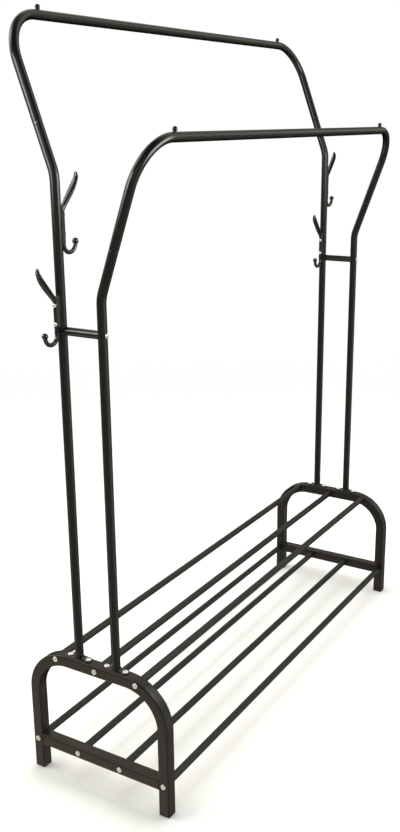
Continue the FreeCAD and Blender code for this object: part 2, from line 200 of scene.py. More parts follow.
def route(corners, radius, step=radians(3)):
    """(point, direction) stations along straight runs joined by arcs of the radius."""
    stations = [(corners[0], (corners[1] - corners[0]).normalized())]
    for before, corner, after in zip(corners, corners[1:], corners[2:]):
        back = (before - corner).normalized()
        ahead = (after - corner).normalized()
        half_turn = back.angle(ahead) / 2
        start = corner + back * radius / tan(half_turn)
        centre = corner + (back + ahead).normalized() * radius / sin(half_turn)
        turn = pi - 2 * half_turn
        axis = (-back).cross(ahead)
        count = ceil(turn / step)
        for index in range(count + 1):
            spin = Matrix.Rotation(turn * index / count, 3, axis)
            stations.append((centre + spin @ (start - centre), spin @ (-back)))
    stations.append((corners[-1], (corners[-1] - corners[-2]).normalized()))
    return stations


def divided(stations, longest):
    """The stations with more between them, so that no gap is longer than the limit."""
    result = [stations[0]]
    for (p, d), (q, e) in zip(stations, stations[1:]):
        count = max(1, ceil((q - p).length / longest))
        for index in range(1, count + 1):
            share = index / count
            result.append((p.lerp(q, share), d.lerp(e, share).normalized()))
    return result


def turns(count):
    """The cosine and sine of each of a number of even turns."""
    return [(cos(2 * pi * k / count), sin(2 * pi * k / count)) for k in range(count)]


def round_ring(station, side, radius, wear=0.0, segments=48, press=0.0):
    """A circle of (point, wear) square to the station's direction, pressed narrower across its side."""
    point, direction = station
    across = direction.cross(side).normalized() * (1 - press)
    return [(point + (side * c + across * s) * radius, wear) for c, s in turns(segments)]


def moved(station, distance):
    point, direction = station
    return (point + direction * distance, direction)


def bend_presses(stations, depth):
    """How far a bent tube is pressed narrower at each station: most inside its bends."""
    presses = []
    bend = 1
    for (_, here), (_, ahead) in zip(stations, stations[1:] + [(None, stations[-1][1])]):
        if here.angle(ahead) > 1e-4:
            bend += 1
            continue
        for index in range(bend):
            share = index / max(1, bend - 1)
            presses.append(depth * min(1.0, 4 * share, 4 * (1 - share)))
        bend = 1
    return presses


def rim(station, inward, side, radius, bore, rounding, segments):
    """The rings round one end of a tube, from its bore over the rounded rim to the true outside."""
    levels = [(0.0, bore + rounding * BORE_ROUNDING, 0.0), (0.0, radius - rounding, 0.2)]
    for lift in (radians(30), radians(60)):
        levels.append((rounding * (1 - cos(lift)), radius - rounding * (1 - sin(lift)), 0.6))
    levels += [(rounding, radius, 0.5), (4 * rounding, radius, 0.0)]
    return [round_ring(moved(station, inward * along), side, outer, wear, segments)
            for along, outer, wear in levels]


def pipe(stations, side, radius, bore, rounding, segments=48):
    """A hollow round tube along the stations, with rounded rims at both ends."""
    first, last = stations[0], stations[-1]
    inside = rounding * BORE_ROUNDING
    bends = list(zip(stations, bend_presses(stations, BEND_PRESS)))[1:-1]
    rings = rim(first, 1, side, radius, bore, rounding, segments)
    rings += [round_ring(s, side, radius, 0.0, segments, press) for s, press in bends]
    rings += reversed(rim(last, -1, side, radius, bore, rounding, segments))
    rings.append(round_ring(moved(last, -inside), side, bore, 0.0, segments))
    rings += [round_ring(s, side, bore, 0.0, segments, press) for s, press in reversed(bends)]
    rings.append(round_ring(moved(first, inside), side, bore, 0.0, segments))
    return rings


def square_outline(side, corner, per_corner=5, per_flat=6):
    """A rounded square as (across, inward, wear) triples, most exposed in the middle of its corners."""
    flat = side / 2 - corner
    quarter = []
    for k in range(per_corner + 1):
        angle = k / per_corner * pi / 2
        exposed = 1 - abs(2 * k / per_corner - 1)
        quarter.append((flat + corner * cos(angle), flat + corner * sin(angle), 0.35 + 0.65 * exposed))
    for k in range(1, per_flat):
        quarter.append((flat * (1 - 2 * k / per_flat), flat + corner, 0.0))
    outline = []
    for c, s in QUARTER_TURNS:
        outline += [(a * c - b * s, a * s + b * c, wear) for a, b, wear in quarter]
    return outline


def square_ring(station, across, outline, shift=None, travelled=0.0):
    """The outline placed square to the station's direction; shift may dent it."""
    point, direction = station
    inward = direction.cross(across).normalized()
    ring = []
    for a, b, wear in outline:
        if shift:
            a, b = shift(a, b, travelled)
        ring.append((point + across * a + inward * b, wear))
    return ring


def lathe(shape, profile, matrix, segments=48):
    """Turns a (radius, height, wear) profile about Z and places it."""
    return shape.skin([[(matrix @ Vector((radius * c, radius * s, height)), wear) for c, s in turns(segments)]
                       for radius, height, wear in profile])


def add_object(name, data):
    made = bpy.data.objects.new(name, data)
    bpy.context.scene.collection.objects.link(made)
    return made


def modified(mesh, *modifiers):
    """The mesh after modifiers, given as (kind, settings)."""
    holder = add_object("work", mesh)
    for kind, settings in modifiers:
        modifier = holder.modifiers.new(kind, kind)
        for key, value in settings.items():
            setattr(modifier, key, value)
    graph = bpy.context.evaluated_depsgraph_get()
    result = bpy.data.meshes.new_from_object(holder.evaluated_get(graph))
    bpy.data.objects.remove(holder)
    return result


def cut(mesh, *cutters):
    """The mesh less the cutters' meshes."""
    for cutter in cutters:
        tool = add_object("tool", cutter)
        mesh = modified(mesh, ("BOOLEAN", {"operation": "DIFFERENCE", "solver": "EXACT", "object": tool}))
        bpy.data.objects.remove(tool)
    return mesh


# ---- materials

# The shader's sockets, by the short names used here.
SOCKETS = {"colour": "Base Color", "metallic": "Metallic", "roughness": "Roughness", "coat": "Coat Weight",
           "coat_roughness": "Coat Roughness", "specular": "Specular IOR Level"}
# The pale steel that shows in a chip, a shade that also paints a glint, and the wear from which the paint is
# off at the edge of a chip and all gone.
CHIP_STEEL_AND_GLINT = (0.85, 0.84, 0.80)
CHIP_GLINT_EDGE = 1.25
CHIP_GLINT_HEART = 1.55


class Nodes:
    """The node tree of a material or world, with short ways to add to it."""

    def __init__(self, owner):
        owner.use_nodes = True
        self.tree = owner.node_tree
        self.tree.nodes.clear()

    def node(self, kind, **settings):
        made = self.tree.nodes.new(kind)
        for key, value in settings.items():
            setattr(made, key, value)
        return made

    def link(self, source, target):
        self.tree.links.new(source, target)

    def feed(self, value, socket):
        if hasattr(value, "is_output"):
            self.link(value, socket)
        else:
            socket.default_value = value

    def math(self, operation, *values, kind="ShaderNodeMath", output="Value"):
        """A maths node's result; its sockets take the values in order, and None leaves one alone."""
        made = self.node(kind, operation=operation)
        for value, socket in zip(values, made.inputs):
            if value is not None:
                self.feed(value, socket)
        return made.outputs[output]


class Paint(Nodes):
    """A material under construction."""

    def __init__(self, name):
        self.material = bpy.data.materials.new(name)
        super().__init__(self.material)
        self.shader = self.node("ShaderNodeBsdfPrincipled")
        output = self.node("ShaderNodeOutputMaterial")
        self.link(self.shader.outputs["BSDF"], output.inputs["Surface"])
        self.place = self.node("ShaderNodeTexCoord").outputs["Object"]

    def noise(self, feature, detail=2.0, stretch=(1, 1, 1), roughness=0.5):
        """Noise whose features are about that many metres across."""
        mapping = self.node("ShaderNodeMapping")
        mapping.inputs["Scale"].default_value = [s / feature for s in stretch]
        self.link(self.place, mapping.inputs["Vector"])
        noise = self.node("ShaderNodeTexNoise")
        noise.inputs["Scale"].default_value = 1.0
        noise.inputs["Detail"].default_value = detail
        noise.inputs["Roughness"].default_value = roughness
        self.link(mapping.outputs["Vector"], noise.inputs["Vector"])
        return noise.outputs["Fac"]

    def remap(self, value, low, high, to_low=0.0, to_high=1.0):
        made = self.node("ShaderNodeMapRange")
        self.link(value, made.inputs["Value"])
        for socket, number in zip(("From Min", "From Max", "To Min", "To Max"), (low, high, to_low, to_high)):
            made.inputs[socket].default_value = number
        return made.outputs["Result"]

    def patches(self, feature, detail=3.0):
        """Soft-edged patches about that many metres across, from 0 to 1."""
        return self.remap(self.noise(feature, detail), 0.35, 0.65)

    def uneven(self, feature, detail, low, high, roughness=0.5):
        """A value that drifts between two numbers."""
        return self.remap(self.noise(feature, detail, roughness=roughness), 0.3, 0.7, low, high)

    def mix(self, factor, a, b):
        """A colour between a and b."""
        made = self.node("ShaderNodeMix", data_type="RGBA")
        self.feed(factor, made.inputs["Factor"])
        colours = [s for s in made.inputs if s.type == "RGBA"]
        for value, socket in ((a, colours[0]), (b, colours[1])):
            self.feed(value if hasattr(value, "is_output") else (*value, 1.0), socket)
        return [s for s in made.outputs if s.type == "RGBA"][0]

    def wear(self, patch=4 * MM, start=0.45, end=0.75):
        """Where the exposed edges are rubbed: the mesh's wear, broken up into patches."""
        mark = self.node("ShaderNodeAttribute", attribute_name="wear").outputs["Fac"]
        broken = self.math("MULTIPLY", mark, self.uneven(patch, 4.0, 0.3, 1.0))
        return self.remap(broken, start, end)

    def chip_and_glint(self):
        """Where the paint has come off, showing pale steel that also paints a glint: the mesh's wear beyond
        that of a rubbed edge.
        """
        mark = self.node("ShaderNodeAttribute", attribute_name="wear").outputs["Fac"]
        return self.remap(mark, CHIP_GLINT_EDGE, CHIP_GLINT_HEART)

    def bump(self, *layers):
        """Stacked bumps, given as (height, metres)."""
        normal = None
        for height, depth in layers:
            made = self.node("ShaderNodeBump")
            made.inputs["Strength"].default_value = 1.0
            made.inputs["Distance"].default_value = depth
            self.link(height, made.inputs["Height"])
            if normal:
                self.link(normal, made.inputs["Normal"])
            normal = made.outputs["Normal"]
        self.link(normal, self.shader.inputs["Normal"])

    def set(self, **values):
        for key, value in values.items():
            self.feed(value, self.shader.inputs[SOCKETS[key]])


def powder_coat(name, shades, gloss, peel):
    """Satin black powder coat: orange peel, slow shade variation, dust nibs, rubbed edges and chips of pale
    steel that also paint a glint.
    """
    dark, light = shades
    paint = Paint(name)
    rubbed = paint.wear()
    chip_and_glint = paint.chip_and_glint()
    nibs = paint.remap(paint.noise(0.7 * MM, 1.0), 0.70, 0.76)
    shade = paint.mix(paint.patches(60 * MM), dark, light)
    shade = paint.mix(paint.math("MULTIPLY", nibs, 0.35), shade, [c * 2.2 + 0.004 for c in light])
    shade = paint.mix(paint.math("MULTIPLY", rubbed, 0.55), shade, [c * 2.0 + 0.012 for c in light])
    # Chips show pale, part-matt steel, whose shade also paints a glint.
    shade = paint.mix(chip_and_glint, shade, CHIP_STEEL_AND_GLINT)
    smear = paint.uneven(18 * MM, 4.0, *gloss, roughness=0.6)
    roughness = paint.math("SUBTRACT", smear, paint.math("MULTIPLY", rubbed, 0.08))
    paint.set(colour=shade, metallic=paint.math("MULTIPLY", chip_and_glint, 0.4), roughness=roughness, specular=0.5)
    paint.bump((paint.noise(1.4 * MM), peel), (paint.noise(0.45 * MM, 1.0), peel * 0.25))
    return paint.material


def gloss_enamel(name):
    """Gloss black enamel on a casting: soft cast waviness under a clear gloss."""
    paint = Paint(name)
    rubbed = paint.wear(2.5 * MM, 0.55, 0.8)
    shade = paint.mix(paint.patches(12 * MM), (0.007, 0.007, 0.006), (0.014, 0.014, 0.013))
    shade = paint.mix(paint.math("MULTIPLY", rubbed, 0.4), shade, (0.06, 0.06, 0.058))
    roughness = paint.uneven(5 * MM, 3.0, 0.16, 0.28)
    paint.set(colour=shade, roughness=roughness, specular=0.5, coat=0.35, coat_roughness=0.07)
    paint.bump((paint.noise(3.5 * MM), 0.10 * MM), (paint.noise(0.8 * MM, 1.0), 0.008 * MM))
    return paint.material


def zinc_with_painted_sheen(name):
    """Zinc: faint spangle, hairline tool marks and dulled patches, made partly matt and pale, which paints
    the heads' bright reflections.
    """
    paint = Paint(name)
    shade = paint.mix(paint.patches(1.6 * MM), (0.86, 0.87, 0.86), (0.94, 0.94, 0.92))
    stain = paint.remap(paint.noise(3 * MM, 4.0), 0.62, 0.72)
    shade = paint.mix(paint.math("MULTIPLY", stain, 0.30), shade, (0.58, 0.56, 0.50))
    # Half metallic, so the pale zinc shows partly matt white: a painted sheen for the bright reflections on
    # the heads.
    paint.set(colour=shade, metallic=0.45, roughness=paint.uneven(0.9 * MM, 4.0, 0.26, 0.42))
    tool_marks = paint.noise(0.3 * MM, stretch=(1, 4, 1))
    paint.bump((tool_marks, 0.006 * MM), (paint.noise(1.2 * MM), 0.02 * MM))
    return paint.material


def moulded_plastic(name, dark, light):
    """Moulded plastic with a fine spark-eroded grain and scuffed edges."""
    paint = Paint(name)
    scuffed = paint.wear(1.5 * MM, 0.4, 0.8)
    shade = paint.mix(paint.patches(8 * MM), dark, light)
    shade = paint.mix(paint.math("MULTIPLY", scuffed, 0.6), shade, [c + 0.05 for c in light])
    paint.set(colour=shade, roughness=paint.uneven(2 * MM, 3.0, 0.46, 0.62), specular=0.35)
    paint.bump((paint.noise(0.35 * MM), 0.02 * MM))
    return paint.material


def plain_steel(name):
    """Plain steel of the hidden weld nuts: oily heat tint and light scale."""
    paint = Paint(name)
    shade = paint.mix(paint.patches(3 * MM, 4.0), (0.30, 0.29, 0.28), (0.55, 0.55, 0.56))
    paint.set(colour=shade, metallic=1.0, roughness=paint.uneven(1 * MM, 3.0, 0.32, 0.55))
    paint.bump((paint.noise(0.5 * MM, 3.0), 0.03 * MM))
    return paint.material


def all_materials():
    warm = ((0.0048, 0.0042, 0.0036), (0.0078, 0.0068, 0.0058))
    grey = ((0.0038, 0.0038, 0.0034), (0.0060, 0.0060, 0.0053))
    sole = ((0.010, 0.010, 0.009), (0.018, 0.018, 0.016))
    insert = ((0.020, 0.020, 0.020), (0.034, 0.034, 0.033))
    return {
        "base_powder_coat": powder_coat("base_powder_coat_paint", warm, (0.36, 0.46), 0.04 * MM),
        "upright_powder_coat": powder_coat("upright_powder_coat_paint", grey, (0.22, 0.30), 0.012 * MM),
        "rail_powder_coat": powder_coat("rail_powder_coat_paint", grey, (0.17, 0.24), 0.012 * MM),
        "hook_enamel": gloss_enamel("hook_enamel_paint"),
        "zinc_fastener": zinc_with_painted_sheen("zinc_fastener_plate_and_painted_sheen"),
        "foot_plastic": moulded_plastic("foot_plastic_grain", *sole),
        "insert_plastic": moulded_plastic("insert_plastic_grain", *insert),
        "nut_steel": plain_steel("nut_steel_scale"),
    }


# ---- base

WRINKLE_DEPTH = 0.5 * MM
WRINKLE_PITCH = 7.5 * MM
WRINKLE_REACH = 12 * MM
WRINKLE_INSET = 15 * MM
INNER_COLLAPSE = 0.7 * MM
BEAD_RADIUS = 1.3 * MM
BEAD_SINK = 0.7 * MM
# Foot plugs, in mm: height, inset and wear up the sole plate, then height and inset up the stem.
SOLE_LEVELS = ((0.0, 1.2, 1.0), (0.15, 0.75, 1.0), (0.6, 0.2, 1.0), (0.9, 0.0, 0.6), (2.15, 0.0, 0.2),
               (2.38, 0.06, 0.2), (2.5, 0.3, 0.0))
STEM_LEVELS = ((2.5, 0.0), (3.2, 0.0), (17.5, 0.0), (18.5, 0.8))


LEG_OUTLINE = square_outline(LEG_SIDE, LEG_CORNER)
LEG_BORE = square_outline(LEG_SIDE - 2 * LEG_WALL, LEG_CORNER - LEG_WALL)


def arch_dents(bends):
    """How a bent square tube leaves its true section: a sunken inner wall, and ripples where a bend ends."""
    half = LEG_SIDE / 2

    def shift(a, b, travelled):
        inner_share = min(1.0, max(0.0, (b + 0.35 * half) / (1.2 * half)))
        for start, end, crimp in bends:
            if start < travelled < end and b > half - LEG_CORNER * 0.9:
                sunk = sin(pi * (travelled - start) / (end - start)) ** 0.5
                b -= INNER_COLLAPSE * sunk * (1 - (a / half) ** 2)
            ripple_place = start + WRINKLE_INSET if crimp == "start" else end - WRINKLE_INSET
            near = exp(-((travelled - ripple_place) / WRINKLE_REACH) ** 2)
            wave = 0.5 + 0.5 * cos(2 * pi * (travelled - ripple_place) / WRINKLE_PITCH)
            depth = WRINKLE_DEPTH * near * wave * inner_share
            if abs(a) > half - LEG_CORNER:
                a -= depth if a > 0 else -depth
            if b > half - LEG_CORNER:
                b -= 0.6 * depth
        return a, b

    return shift


def end_arch(side):
    """The bent square tube of one end, with its dents outside and a plain bore."""
    x = side * END_X
    corners = [Vector((x, -LEG_Y, ARCH_FOOT)), Vector((x, -LEG_Y, ARCH_AXIS)),
               Vector((x, LEG_Y, ARCH_AXIS)), Vector((x, LEG_Y, ARCH_FOOT))]
    leg = ARCH_AXIS - ARCH_BEND - ARCH_FOOT
    bend = ARCH_BEND * pi / 2
    top = 2 * (LEG_Y - ARCH_BEND)
    shift = arch_dents(((leg, leg + bend, "start"), (leg + bend + top, leg + 2 * bend + top, "end")))
    rings = []
    travelled = 0.0
    stations = divided(route(corners, ARCH_BEND), 3 * MM)
    for before, station in zip(stations[:1] + stations, stations):
        travelled += (station[0] - before[0]).length
        rings.append(square_ring(station, X, LEG_OUTLINE, shift, travelled))
    rings += [square_ring(station, X, LEG_BORE) for station in reversed(route(corners, ARCH_BEND))]
    return Shape().skin(rings, closed=True)


def weld_bead(shape, outline, radius, pitch=3.2 * MM, step=0.8 * MM):
    """A rippled bead round a closed line of points."""
    line = []
    for p, q in zip(outline, outline[1:] + outline[:1]):
        count = max(1, ceil((q - p).length / step))
        line += [p.lerp(q, k / count) for k in range(count)]
    rings = []
    travelled = 0.0
    for index, point in enumerate(line):
        following = line[(index + 1) % len(line)]
        ahead = (following - line[index - 1]).normalized()
        side = ahead.cross(Y)
        if side.length < 0.5:
            side = ahead.cross(X)
        ripple = 1 + 0.16 * abs(sin(pi * travelled / pitch))
        rings.append(round_ring((point, ahead), side.normalized(), radius * ripple, 0.0, 12))
        travelled += (following - point).length
    shape.skin(rings, closed=True)


def crossbar(side):
    """The square tube between the legs, welded all round at both ends."""
    half = LEG_Y - LEG_SIDE / 2
    start = Vector((side * END_X, -half, CROSSBAR_AXIS))
    stations = divided([(start, Y), (start + Y * 2 * half, Y)], 12 * MM)
    rings = [square_ring(s, X, LEG_OUTLINE) for s in stations]
    rings += [square_ring(s, X, LEG_BORE) for s in reversed(stations)]
    shape = Shape().skin(rings, closed=True)
    seam = square_outline(LEG_SIDE - 2 * BEAD_SINK, LEG_CORNER)
    for y in (0.1 * MM - half, half - 0.1 * MM):
        line = [Vector((side * END_X + a, y, CROSSBAR_AXIS + b)) for a, b, _ in seam]
        weld_bead(shape, line, BEAD_RADIUS)
    return shape


def foot_plug(side, row):
    """The plug under a leg: a grained sole plate with rounded edges and a stem up inside."""
    centre = Vector((side * END_X, row * LEG_Y, 0))
    stem_side = LEG_SIDE - 2 * LEG_WALL - 2 * SEAT_CLEARANCE
    rings = []
    for height, inset, wear in SOLE_LEVELS:
        outline = square_outline(LEG_SIDE - 2 * inset * MM, LEG_CORNER)
        rings.append([(p, wear) for p, _ in square_ring((centre + Z * height * MM, Z), X, outline)])
    for height, inset in STEM_LEVELS:
        outline = square_outline(stem_side - 2 * inset * MM, LEG_CORNER - LEG_WALL)
        rings.append(square_ring((centre + Z * height * MM, Z), X, outline))
    return Shape().skin(rings)


def shelf_bar(node):
    place = middle(node)
    start = Vector((-BAR_END, place.y, place.z))
    stations = divided([(start, X), (start + X * 2 * BAR_END, X)], 60 * MM)
    return Shape().skin(pipe(stations, Z, BAR_RADIUS, BAR_RADIUS - BAR_WALL, 0.25 * MM), closed=True)


# ---- uprights and rails

def slant_direction(row):
    return Vector((0, row * sin(SLANT), cos(SLANT)))


def seam_point(side, row):
    """Where a rail's mouth rests on an upright's shoulder."""
    reach = UPRIGHT_OFFSET + SEAM_RISE * tan(SLANT)
    return Vector((side * END_X, row * reach, BEND_HEIGHT[row] + SEAM_RISE))


# An upright's shoulder below the seam, in mm: distance along, inset and wear.
SHOULDER = ((-2.0, 0, 0.0), (-0.80, 0, 0.3), (-0.55, 0.06, 0.5), (-0.30, 0.22, 0.4), (-0.10, 0.45, 0.2),
            (0.0, 0.70, 0.0))
# The chip in the paint at the left rear seam, whose pale steel also paints a glint there: levels in mm, the
# side it faces, how far it spreads and the wear that marks it.
CHIP_GLINT_FOOT, CHIP_GLINT_TOP = -1.0, -0.05
CHIP_GLINT_SIDE = Vector((-0.94, -0.34, 0.0))
CHIP_GLINT_SPREAD = cos(radians(20))
CHIP_GLINT_WEAR = 2.0


def upright(side, row):
    """A bent tube that steps in to a swaged neck with a rounded lead-in."""
    foot = Vector((side * END_X, row * UPRIGHT_OFFSET, FRAME_TOP))
    seam = seam_point(side, row)
    rise = slant_direction(row)
    top = seam + rise * NECK_LENGTH
    stations = route([foot, Vector((foot.x, foot.y, BEND_HEIGHT[row])), seam], UPRIGHT_BEND, radians(2))
    bore = UPRIGHT_RADIUS - UPRIGHT_WALL
    neck_bore = NECK_RADIUS - UPRIGHT_WALL
    rings = [round_ring(stations[0], X, bore), round_ring(stations[0], X, UPRIGHT_RADIUS - 0.2 * MM)]
    rings.append(round_ring(moved(stations[0], 0.2 * MM), X, UPRIGHT_RADIUS))
    rings += [round_ring(s, X, UPRIGHT_RADIUS) for s in stations[1:-1]]
    for along, inset, wear in SHOULDER:
        ring = round_ring((seam + rise * along * MM, rise), X, UPRIGHT_RADIUS - inset * MM, wear)
        # A chip of pale steel at this seam, which also paints the glint on its shoulder.
        if (side, row) == (-1, 1) and CHIP_GLINT_FOOT < along < CHIP_GLINT_TOP:
            ring = [(p, CHIP_GLINT_WEAR if (p - seam).normalized().dot(CHIP_GLINT_SIDE) > CHIP_GLINT_SPREAD else w) for p, w in ring]
        rings.append(ring)
    neck = ((seam, 0.15, NECK_RADIUS + 0.02 * MM, 0.3), (seam, 1.0, NECK_RADIUS, 0.6),
            (top, -12.0, NECK_RADIUS, 0.75), (top, -2.0, NECK_RADIUS, 0.9),
            (top, -NECK_LEAD_IN / MM, NECK_RADIUS, 1.0), (top, -0.3, NECK_RADIUS - 0.35 * MM, 1.0),
            (top, 0.0, NECK_RADIUS - NECK_LEAD_IN, 0.9), (top, 0.0, neck_bore, 0.5),
            (seam, -3.0, neck_bore, 0.0), (seam, -7.0, bore, 0.0))
    rings += [round_ring((start + rise * along * MM, rise), X, radius, wear)
              for start, along, radius, wear in neck]
    rings += [round_ring(s, X, bore) for s in reversed(stations[1:-1])]
    return Shape().skin(rings, closed=True)


FLANGE_SEGMENTS = 128
FLANGE_STEPS = 14
FLANGE_ROUNDING = 0.7 * MM


def flange(side, row):
    """A pressed plate, flared up into a collar and closed round the tube by a small weld."""
    centre = Vector((side * END_X, row * UPRIGHT_OFFSET, FRAME_TOP))
    bore = UPRIGHT_RADIUS + SEAT_CLEARANCE
    half_width = FLANGE_WIDTH / 2
    reach = FLANGE_LENGTH / 2 - half_width

    def plate_edge(turn):
        """The distance from the tube's axis to the plate's edge, towards a (cosine, sine)."""
        c, s = abs(turn[0]), abs(turn[1])
        straight = half_width / c if c > 1e-6 else 1.0
        if straight * s <= reach:
            return straight
        return reach * s + sqrt(half_width ** 2 - (reach * c) ** 2)

    def top(distance):
        """The height of the pressed top surface at a distance from the tube's axis."""
        share = (distance - COLLAR_TOP_RADIUS) / (COLLAR_FOOT_RADIUS - COLLAR_TOP_RADIUS)
        flare = (1 - min(1.0, max(0.0, share))) ** 1.6
        return FLANGE_PLATE + (FLANGE_HEIGHT - FLANGE_PLATE) * flare

    def ring(distance_of, height_of, wear):
        """A ring whose distance depends on its direction, and its height on its distance."""
        made = []
        for c, s in turns(FLANGE_SEGMENTS):
            distance = distance_of((c, s))
            made.append((centre + Vector((distance * c, distance * s, height_of(distance))), wear))
        return made

    inner_edge = COLLAR_TOP_RADIUS - 0.5 * MM
    mouth = ((bore, 0.0, 0.0), (bore, FLANGE_HEIGHT - 0.3 * MM, 0.0),
             (bore + 0.3 * MM, FLANGE_HEIGHT, 0.5), (inner_edge, FLANGE_HEIGHT, 0.8))
    rings = [round_ring((centre + Z * height, Z), X, radius, wear, FLANGE_SEGMENTS)
             for radius, height, wear in mouth]
    for step in range(1, FLANGE_STEPS + 1):
        share = (step / FLANGE_STEPS) ** 1.3
        rings.append(ring(
            lambda t: inner_edge + (plate_edge(t) - FLANGE_ROUNDING - inner_edge) * share, top, 0.0))
    for lift in (radians(30), radians(60), radians(90)):
        rings.append(ring(lambda t: plate_edge(t) - FLANGE_ROUNDING * (1 - sin(lift)),
                          lambda d: top(d) - FLANGE_ROUNDING * (1 - cos(lift)), 1.0))
    rings.append(ring(plate_edge, lambda d: 0.2 * MM, 0.2))
    rings.append(ring(lambda t: plate_edge(t) - 0.2 * MM, lambda d: 0.0, 0.2))
    shape = Shape().skin(rings, closed=True)
    collar_weld(shape, centre + Z * FLANGE_HEIGHT)
    return shape


def collar_weld(shape, centre, radius=0.8 * MM, points=64):
    """A rippled weld ring round an upright, on top of its collar."""
    rings = []
    for index, (c, s) in enumerate(turns(points)):
        outward = Vector((c, s, 0))
        ripple = 1 + 0.14 * abs(sin(pi * index / 4))
        station = (centre + outward * (UPRIGHT_RADIUS + 0.55 * MM), outward.cross(Z))
        rings.append(round_ring(station, outward, radius * ripple, 0.0, 10))
    shape.skin(rings, closed=True)


def link_tube(side):
    """A tube with both ends coped to sit round the uprights."""
    reach = UPRIGHT_RADIUS + SEAT_CLEARANCE
    axis = Vector((side * END_X, 0, LINK_AXIS))
    rims = ((LINK_RADIUS - LINK_WALL, 0.0), (LINK_RADIUS - LINK_ROUNDING, 0.0), (LINK_RADIUS, LINK_ROUNDING))

    def coped(radius, end, inset):
        """A ring whose points lie on the upright's surface at one end, or short of it by the inset."""
        ring = []
        for p, _ in round_ring((axis, -Y), X, radius, 0.0, LINK_SEGMENTS):
            level = UPRIGHT_OFFSET - sqrt(reach ** 2 - (p.x - axis.x) ** 2) - inset
            ring.append((p + Y * end * level, 1.0 if inset else 0.0))
        return ring

    rings = [coped(radius, -1, inset) for radius, inset in rims]
    for share in (-0.8, -0.4, 0.0, 0.4, 0.8):
        station = (axis + Y * (UPRIGHT_OFFSET - reach) * share, -Y)
        rings.append(round_ring(station, X, LINK_RADIUS, 0.0, LINK_SEGMENTS))
    rings += [coped(radius, 1, inset) for radius, inset in reversed(rims)]
    return Shape().skin(rings, closed=True)


def hanging_rail(row):
    """One long tube, bent down at both ends to its two seams."""
    offset = row * (UPRIGHT_OFFSET + RAIL_RISE * tan(SLANT))
    height = BEND_HEIGHT[row] + RAIL_RISE
    corners = [seam_point(-1, row), Vector((-END_X, offset, height)), Vector((END_X, offset, height)),
               seam_point(1, row)]
    side = X.cross(slant_direction(row)).normalized()
    stations = route(corners, RAIL_BEND, radians(2.5))
    return Shape().skin(pipe(stations, side, RAIL_RADIUS, RAIL_BORE, MOUTH_ROUND, 56), closed=True)


# The stop's foot and neck as radius, height and wear, and its ball, in mm.
STOP_FOOT = ((0.01, -4.0, 0), (1.8, -4.0, 0), (2.0, -3.8, 0), (2.0, -0.8, 0), (4.2, -0.8, 0), (4.3, 0.2, 0.3),
             (4.1, 0.7, 0.3), (3.85, 1.1, 0), (3.8, 1.7, 0))
STOP_BALL = 4.75
STOP_STEPS = 13


def rail_stop(node):
    """A turned stop: a flared foot, a waisted neck and a ball."""
    place = middle(node)
    profile = list(STOP_FOOT)
    for k in range(STOP_STEPS + 1):
        angle = radians(-36 + k * 125 / STOP_STEPS)
        profile.append((max(0.01, STOP_BALL * cos(angle)), STOP_BALL + STOP_BALL * sin(angle),
                        max(0.0, sin(angle)) * 0.5))
    profile = [(r * MM, h * MM, w) for r, h, w in profile]
    foot = Vector((place.x, place.y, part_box(node)[1].z - STOP_HEIGHT))
    return lathe(Shape(), profile, Matrix.Translation(foot))


# ---- hooks

# All of the casting's own measures are in mm, out from the tube's axis and up from the hook's middle.

# The upper prong's ovals, in mm and degrees: distance out, height, lean, half width, half thickness.
PRONG_STATIONS = (
    (14.0, 20.0, 14.0, 3.9, 4.6),
    (21.0, 32.5, 42.0, 4.9, 3.0),
    (33.0, 46.5, 42.0, 6.2, 2.6),
    (44.0, 59.0, 40.0, 6.8, 2.5),
    (54.5, 71.5, 33.0, 6.8, 2.5),
    (60.2, 81.5, 12.0, 5.4, 2.3),
    (60.6, 89.0, -2.0, 2.9, 1.4),
)
# The edge of the rib on the prong's outer side, out and up in mm.
RIB_EDGE = ((18.0, 17.0), (26.0, 28.0), (39.0, 41.2), (50.6, 53.6), (60.6, 67.5), (63.6, 79.0), (61.6, 86.0))
RIB_HALF = 1.6
PRONG_TIP = 1.2
# The body's levels, as height and inset.
BODY_LEVELS = ((-38, 1.4), (-37.4, 0.5), (-36, 0.0), (-20, 0.0), (0, 0.0), (20, 0.0), (32, 0.0), (33.4, 0.5),
               (34, 1.4))
BODY_HALF = 4.0
BODY_CORNER = 1.6
CUP_RADIUS = 17.5
CUP_START = 15.5
CUP_FOOT = -36.0
CUP_ROD = 4.3
CUP_TAPER = 0.3
CUP_BALL = 6.1
CUP_BALL_CENTRE = Vector((50.5, 0, -34.5))


def smoothed(rows, index, t):
    """The values at a share of the way past a row, on smooth curves through all the rows."""
    around = (rows[min(max(index + k, 0), len(rows) - 1)] for k in (-1, 0, 1, 2))
    return [0.5 * (2 * b + (c - a) * t + (2 * a - 5 * b + 4 * c - d) * t * t
                   + (3 * b - a - 3 * c + d) * t ** 3) for a, b, c, d in zip(*around)]


def prong_rings():
    """Ovals along the flat upper prong: smooth between the stations, with a rounded tip."""
    ovals = [smoothed(PRONG_STATIONS, index, step / 6)
             for index in range(len(PRONG_STATIONS) - 1) for step in range(6)]
    out, up, lean, wide, thick = PRONG_STATIONS[-1]
    for share in (0.0, 0.45, 0.8, 0.97):
        shrink = sqrt(1 - share ** 2)
        further = share * PRONG_TIP
        ovals.append([out + further * sin(radians(lean)), up + further * cos(radians(lean)), lean,
                      wide * shrink, thick * shrink])
    rings = []
    for out, up, lean, wide, thick in ovals:
        centre = Vector((out, 0, up))
        across = Vector((cos(radians(lean)), 0, -sin(radians(lean))))
        rings.append([(centre + across * thick * c + Y * wide * s, 0.0) for c, s in turns(28)])
    return rings


